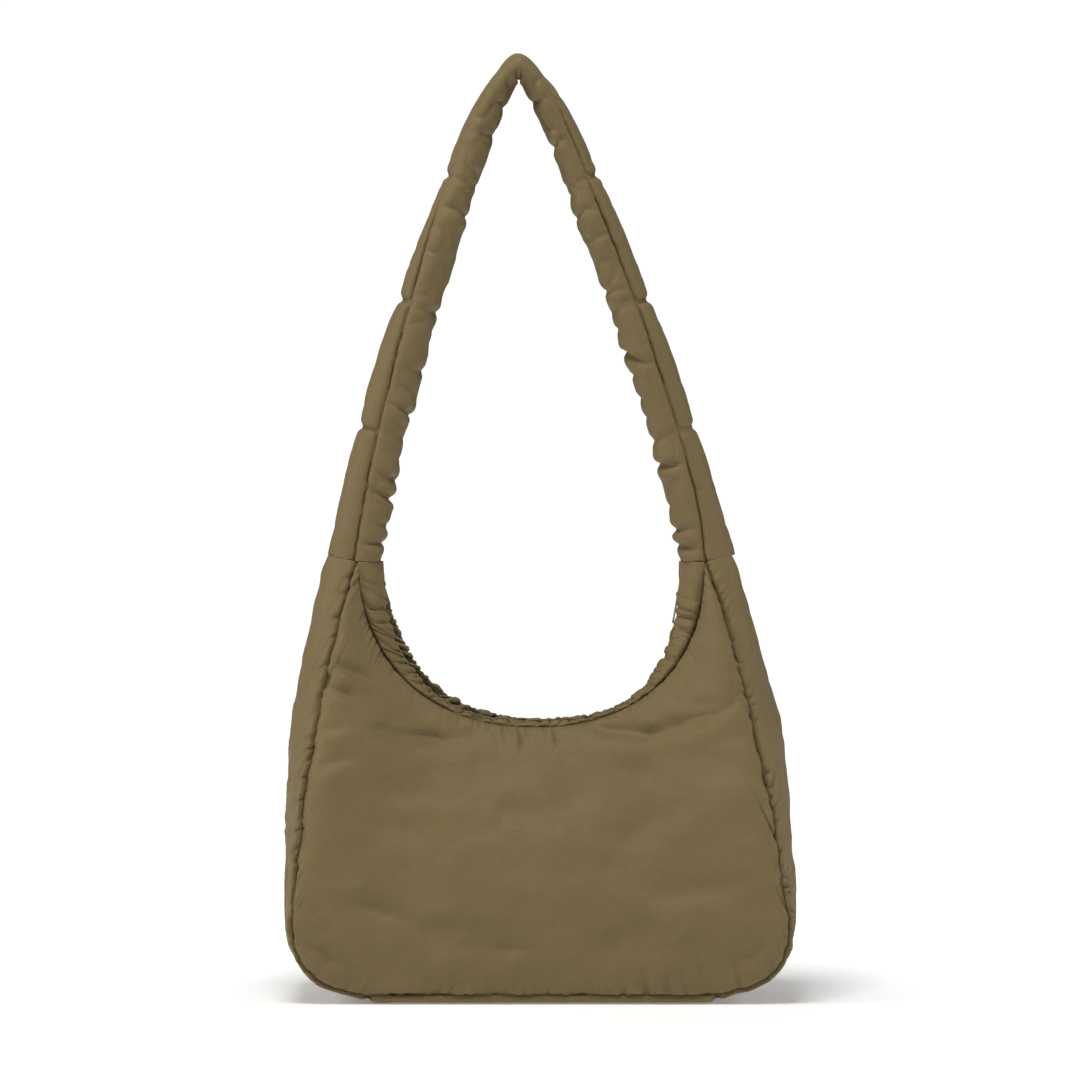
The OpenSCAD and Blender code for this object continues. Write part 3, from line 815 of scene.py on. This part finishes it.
# -------- strap
FOLD_T = 13 * MM          # thickness of the strap at its folded top
STRAP_BOW = 4.8 * MM      # outward bow of each leg near the top
TOP_ROUND = 1.6 * MM      # how gently the folded top turns over, and how steep the strap leaves it
TOP_SLOPE = 1.84
TOP_TURN = 0.968          # share of a leg at which the tube starts to lie down over the fold
STRAP_ROOT_W = 36.6 * MM  # width of the strap at its root
STRAP_TAPER, TOP_TAPER = 14 * MM, 10 * MM  # how much narrower it gets evenly, and near the top
STRAP_START = ((MOUTH_R + HALF_TOP + GUSSET_OUT) / 2, SEAM_H)
STRAP_TOP = (0.0, TOP_Z - FOLD_T / 2)
LEG_STEPS, OUTER_STEPS, INNER_STEPS = 400, 36, 60
QUILTS = (0.25, 0.5, 0.75)
# Share of the tube's width, from its outer side, at which the long seam lies on the way up each leg
SEAM_RIGHT = ((0, 0.55), (0.12, 0.44), (0.5, 0.37), (0.72, 0.33), (0.86, 0.22), (0.94, 0.06), (1, 0.04))
SEAM_LEFT = ((0, 0.50), (0.12, 0.48), (0.35, 0.40), (0.6, 0.20), (0.72, 0.09), (0.82, 0.04), (1, 0.04))
# Tucks across the inner panel: leg, height, rise towards the inside and depth in mm
STRAP_TUCKS = (
    ("left", 0.3095, 0.0, 2.6), ("left", 0.3430, -0.25, 3.4), ("left", 0.4010, -0.35, 3.0),
    ("left", 0.3560, -0.2, 1.6), ("left", 0.3240, 0.1, 1.2), ("left", 0.470, 0.2, 1.4),
    ("left", 0.535, -0.3, 2.2), ("left", 0.590, 0.3, 1.6),
    ("right", 0.3080, -0.2, 3.0), ("right", 0.3190, 0.1, 2.0), ("right", 0.3670, -0.3, 3.6),
    ("right", 0.4430, -0.9, 3.2), ("right", 0.4850, -0.2, 2.0), ("right", 0.5350, 0.3, 1.8),
    ("right", 0.5820, 0.2, 2.2), ("right", 0.6130, -0.2, 1.8),
)


def strap_axis():
    """Centres, outward directions and sizes of the tube from the right root over the top to the left."""
    t = np.linspace(0, 1, 400)
    leg = bezier(STRAP_START, (STRAP_START[0] - 17 * MM, SEAM_H + 102 * MM),
                 (STRAP_TOP[0] + 50 * MM, STRAP_TOP[1] - 92 * MM), STRAP_TOP, t)
    leg[:, 0] += STRAP_BOW * np.sin(np.pi * t ** 6)
    leg[:, 1] -= TOP_SLOPE * (np.hypot(leg[:, 0], TOP_ROUND) - np.abs(leg[:, 0]))
    leg, length = resample(leg, LEG_STEPS + 1)
    u = np.linspace(0, 1, LEG_STEPS + 1)
    along = np.gradient(leg, axis=0)
    across = np.stack([along[:, 1], -along[:, 0]], 1)
    across /= np.linalg.norm(across, axis=1)[:, None]
    across = mix(np.array([[1.0, 0.0]]), across, smooth((u - 0.02) / 0.12)[:, None])
    across = mix(across, np.array([[0.0, 1.0]]), np.clip((u - TOP_TURN) / (1 - TOP_TURN), 0, 1)[:, None])
    across /= np.linalg.norm(across, axis=1)[:, None]
    half_w = (STRAP_ROOT_W - STRAP_TAPER * u - TOP_TAPER * u ** 6) / 2
    half_w = half_w + 2.2 * MM * smooth((u - 0.96) / 0.04)
    half_d = ROOT_HALF_D + 4 * MM * u ** 3
    flip = np.array([-1, 1])
    centre = np.concatenate([leg, leg[-2::-1] * flip])
    across = np.concatenate([across, across[-2::-1] * flip])
    u = np.concatenate([u, 2 - u[-2::-1]])
    both = [np.concatenate([a, a[-2::-1]]) for a in (half_w, half_d)]
    return centre, across, u, both[0], both[1], length


def seam_share(u):
    """Where the long front seam lies, from the right root (u = 0) over the top to the left root (u = 2)."""
    right, left = (np.array(table).T for table in (SEAM_RIGHT, SEAM_LEFT))
    return np.where(u <= 1, np.interp(u, *right), np.interp(2 - u, *left))


def quilt_lines(u, length, width):
    """Nearness to a line quilted across the outer panel."""
    return sum(np.exp(-((u - q) * length / width) ** 2) for q in QUILTS + tuple(2 - q for q in QUILTS))


def strap_folds(inner, u, s, angle, w, reach, height):
    """How far the shell stands off the even tube: puffs between quilt lines, tucks and gathers."""
    free = 1 - np.exp(-reach / (5 * MM))
    length = s.max() / 2
    seed = 71 if inner else 61
    share = 0.35 if inner else 1.0
    lift = -share * (2.6 * MM * quilt_lines(u, length, 2.6 * MM) + 1.3 * MM * quilt_lines(u, length, 15 * MM))
    lift = lift + 0.9 * MM * noise(s / 0.040, angle * 1.1, seed=seed)
    lift = lift + free * (2.0 if inner else 0.6) * MM * (billow(s / 0.016, angle * 1.0, seed=seed + 1) - 0.5)
    lift = lift + (1.5 if inner else 1.1) * MM * gathers(s, reach, 5 * MM, 5.5 * MM, 0.4, seed + 2)
    lift = lift + free * 0.2 * MM * noise(s / 0.006, angle * 4, seed=seed + 4)
    if inner:
        for leg, at, rise, depth in STRAP_TUCKS:
            here = (u <= 1) if leg == "right" else (u > 1)
            off = height - at - rise * 0.014 * w * (1 if leg == "right" else -1)
            hollow = np.exp(-(off / (2.0 * MM)) ** 2)
            ridges = np.exp(-((np.abs(off) - 6 * MM) / (4 * MM)) ** 2)
            press = free * (0.6 + 0.4 * np.cos(2 * angle - 1))
            lift = lift - here * depth * MM * (hollow - 0.45 * ridges) * press
    width = 0.4 * MM * noise(s / 0.004, np.sign(w), seed=65)
    return lift - (GROOVE + width) * np.exp(-reach / GROOVE_WIDTH) - DIP * np.exp(-reach / (4 * MM))


def strap_face(inner, sunk=0.0, even=False):
    """Face of the strap's inner or outer panel, at a depth, with its folds or even."""
    centre, across, u, half_w, half_d, length = strap_axis()
    u = u[:, None]
    s = u * length
    split = np.arccos(1 - 2 * seam_share(u))
    split = split + 0.03 * noise(s / 0.005, seed=66)
    w = np.linspace(-1, 1, INNER_STEPS if inner else OUTER_STEPS)[None, :]
    angle = np.pi + w * (np.pi - split) if inner else w * split
    r_w, r_d = half_w[:, None], half_d[:, None]
    reach = (np.pi - split if inner else split) * (r_w + r_d) / 2 * (1 - np.abs(w))
    lift = -sunk + 0 * reach
    if not even:
        lift = lift + strap_folds(inner, u, s, angle, w, reach, centre[:, 1:])
    spread = centre[:, None] + across[:, None] * ((r_w + lift) * np.cos(angle))[..., None]
    y = (r_d + lift) * np.sin(angle)
    x, z = spread[..., 0], spread[..., 1]
    up = np.where(u <= 1, u, 2 - u)
    z = z + STRAP_SLANT * np.maximum(np.abs(x) - HALF_TOP, 0) * (1 - smooth(up / 0.12))
    return np.stack([x + lean_x(z), y, z], -1)


def build_strap():
    """The two long panels of the strap."""
    for inner, name, nodes in ((False, "strap_outer_quilted", ("strap_outer_panel", "strap_wadding")),
                               (True, "strap_inner_puckered", ("strap_inner_panel",))):
        piece = shell(name, strap_face(inner), strap_face(inner, PAD, True), NYLON)
        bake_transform(piece)
        stands_for(piece, "shell_nylon", *nodes)


# -------- stitches and the inside
STITCH_SIDES = 6
# Place along a stitch and share of its radius for each ring
STITCH_RINGS = ((-0.5, 0.45), (-0.34, 1.0), (0.34, 1.0), (0.5, 0.45))
LABEL_T = 0.3 * MM
POCKET_DEPTH = PAD + LINING_T + 0.9 * MM  # the pocket and the label lie this far inside the nylon
# Shares of the panel's outline and of its depth that the pocket and the label cover
POCKET_ROWS, POCKET_COLS, POCKET_STEPS = (0.35, 0.65), (0.22, 0.80), (120, 24)
LABEL_ROWS, LABEL_COLS, LABEL_STEPS = (0.245, 0.268), (0.60, 0.80), (12, 10)


def build_stitches(name, runs, body, pitch=3.2 * MM, length=2.1 * MM, radius=0.28 * MM):
    """Thread along each run of (points, normals): a short rounded bar for every stitch."""
    verts, faces = [], []
    ring = np.linspace(0, 2 * np.pi, STITCH_SIDES, endpoint=False)
    for points, normals in runs:
        total = resample(points, 2)[1]
        steps = max(2, int(total / pitch))
        line = resample(points, 2 * steps)[0]
        facing = resample(np.concatenate([points, normals], 1), 2 * steps)[0][:, 3:]
        for k in range(0, 2 * steps - 1, 2):
            mid = (line[k] + line[k + 1]) / 2
            along = (line[k + 1] - line[k]) / np.linalg.norm(line[k + 1] - line[k])
            up = facing[k] / np.linalg.norm(facing[k])
            side = np.cross(along, up)
            start = len(verts)
            for at, size in STITCH_RINGS:
                centre = mid + along * at * length
                verts += [centre + radius * size * (up * np.sin(a) + side * np.cos(a)) for a in ring]
            last = len(verts) - STITCH_SIDES
            for first in range(start, last, STITCH_SIDES):
                for j in range(STITCH_SIDES):
                    a, b = first + j, first + (j + 1) % STITCH_SIDES
                    faces.append([a, b, b + STITCH_SIDES, a + STITCH_SIDES])
            faces.append([start + j for j in reversed(range(STITCH_SIDES))])
            faces.append([last + j for j in range(STITCH_SIDES)])
    piece = make_object(name, np.array(verts), faces, THREAD)
    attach(piece, body)


def build_quilting():
    """Stitches of the quilt lines across the strap's outer panel, sunk in their valleys."""
    grid = strap_face(False)
    normal = outward_normals(grid, grid.mean((0, 1)))
    laid = grid + normal * 0.1 * MM
    line = slice(2, OUTER_STEPS - 2)
    runs = []
    for q in QUILTS:
        for row in (round(q * LEG_STEPS), round((2 - q) * LEG_STEPS)):
            runs += [(laid[row + shift, line], normal[row, line]) for shift in (-1, 1)]
    build_stitches("strap_quilt_stitches", runs, "strap")


def patch(base, normal, depth, rows, cols, steps):
    """A finer or coarser grid over part of a panel, at a depth, with its normals."""
    i = np.linspace(rows[0] * (NU - 1), rows[1] * (NU - 1), steps[0]).astype(int)
    j = np.linspace(cols[0] * (NV - 1), cols[1] * (NV - 1), steps[1]).astype(int)
    part = np.ix_(i, j)
    return inside(base, normal, depth)[part], normal[part]


def build_inside():
    """Slip pocket on the back lining and a blank label on the front one."""
    base, normal = panel_base(1)[:2]
    face, out = patch(base, normal, POCKET_DEPTH, POCKET_ROWS, POCKET_COLS, POCKET_STEPS)
    along, down = (np.linspace(0, 1, n) for n in POCKET_STEPS)
    sag = np.sin(np.pi * along)[:, None] * (1 - down)[None, :] ** 2
    face = face - out * (1.6 * MM * sag)[..., None]
    pocket = hung_sheet("slip_pocket_cloth", face, inside(face, out, LINING_T), LINING,
                        "lining", "inner_pocket")
    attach(pocket, "bag")
    edge = inside(face, out, LINING_T + 0.1 * MM)
    lines = ((slice(2, -2), 1), (2, slice(1, -1)), (-3, slice(1, -1)))
    build_stitches("pocket_stitches", [(edge[line], -out[line]) for line in lines], "bag")

    base, normal = panel_base(-1)[:2]
    face, out = patch(base, normal, POCKET_DEPTH, LABEL_ROWS, LABEL_COLS, LABEL_STEPS)
    label = hung_sheet("care_label_satin", face, inside(face, out, LABEL_T), LABEL,
                       "label", "care_label")
    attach(label, "bag")


# -------- stage
WHITE = (1, 1, 1, 1)
FLOOR_SIDE = 1.8
FLOOR_NEAR, FLOOR_FAR = (0.8, 0.2), (0.45, 0.9)  # the floor's gradient and glow near the bag and away
SKY_GLOW, SKY_SEEN = 0.09, 1.05  # the world's light on the bag, and its white to the camera
LIGHT_AIM = Vector((0, 0, 0.2))
# Name, place, side and power of each softbox
LIGHTS = (
    ("left_softbox", (-1.7, -0.45, 0.9), 1.0, 14),
    ("right_softbox", (1.7, -0.4, 0.8), 1.0, 9),
    ("top_softbox", (-0.2, -0.7, 1.9), 0.7, 23),
    ("back_softbox", (0.0, 1.8, 1.2), 1.6, 5),
)
SENSOR = 36               # width of the camera's sensor in mm
CAMERA_AWAY, CAMERA_RISE = 4.0, math.radians(2.0)
VIEW_WIDTH = 0.7355       # width of the picture at the bag
AIM_DROP = 10.5 * MM      # how far below the middle of the bag the camera looks


def build_stage():
    """A white floor that fades into the white around it, and four softboxes."""
    bpy.ops.mesh.primitive_plane_add(size=FLOOR_SIDE, location=(0, 0, 0))
    floor = bpy.context.object
    floor.name = "studio_floor"
    m, tree, shader, coords = new_material("studio_white")
    settle(shader, {"Base Color": (0.93, 0.93, 0.93, 1), "Roughness": 0.9,
                    "Specular IOR Level": 0.1, "Emission Color": WHITE})
    fade = tree.nodes.new("ShaderNodeTexGradient")
    fade.gradient_type = "SPHERICAL"
    bright = tree.nodes.new("ShaderNodeMapRange")
    for end, (share, power) in (("Min", FLOOR_NEAR), ("Max", FLOOR_FAR)):
        settle(bright, {f"From {end}": share, f"To {end}": power})
    tree.links.new(coords, fade.inputs["Vector"])
    tree.links.new(fade.outputs["Fac"], bright.inputs["Value"])
    tree.links.new(bright.outputs["Result"], shader.inputs["Emission Strength"])
    floor.data.materials.append(m)

    world = bpy.data.worlds.new("studio")
    bpy.context.scene.world = world
    world.use_nodes = True
    tree = world.node_tree
    glow = tree.nodes["Background"]
    settle(glow, {"Color": WHITE, "Strength": SKY_GLOW})
    seen = tree.nodes.new("ShaderNodeBackground")
    settle(seen, {"Color": WHITE, "Strength": SKY_SEEN})
    rays = tree.nodes.new("ShaderNodeLightPath")
    pick = tree.nodes.new("ShaderNodeMixShader")
    tree.links.new(rays.outputs["Is Camera Ray"], pick.inputs["Fac"])
    tree.links.new(glow.outputs[0], pick.inputs[1])
    tree.links.new(seen.outputs[0], pick.inputs[2])
    tree.links.new(pick.outputs[0], tree.nodes["World Output"].inputs["Surface"])

    for name, place, size, power in LIGHTS:
        data = bpy.data.lights.new(name, "AREA")
        data.shape = "SQUARE"
        data.size = size
        data.energy = power
        light = bpy.data.objects.new(name, data)
        light.location = place
        aim = LIGHT_AIM - Vector(place)
        light.rotation_euler = aim.to_track_quat("-Z", "Y").to_euler()
        bpy.context.scene.collection.objects.link(light)


def build_camera():
    """A long lens, almost level, with the bag filling the frame as it stands there."""
    aim = Vector((0.0, 0.0, (CAD_BOX[0][2] + CAD_BOX[1][2]) / 2 - AIM_DROP))
    data = bpy.data.cameras.new("camera")
    data.sensor_width = SENSOR
    data.lens = SENSOR * CAMERA_AWAY / VIEW_WIDTH
    data.clip_end = 60
    camera = bpy.data.objects.new("camera", data)
    camera.location = aim + CAMERA_AWAY * Vector((0, -math.cos(CAMERA_RISE), math.sin(CAMERA_RISE)))
    camera.rotation_euler = (aim - camera.location).to_track_quat("-Z", "Y").to_euler()
    bpy.context.scene.collection.objects.link(camera)
    bpy.context.scene.camera = camera


build_camera()
build_stage()
build_panel("front", -1, FRONT_CREASES, FRONT_LEDGES, 20)
build_panel("back", 1, BACK_CREASES, (), 30)
build_gussets()
build_rim("front", -1, 0.0, 0.0, 50)
build_rim("back", 1, 8.0 * MM, 0.5 * MM, 55)
build_zip()
build_strap()
build_quilting()
build_inside()

scene = bpy.context.scene
scene.view_settings.view_transform = "Standard"
scene.view_settings.look = "None"
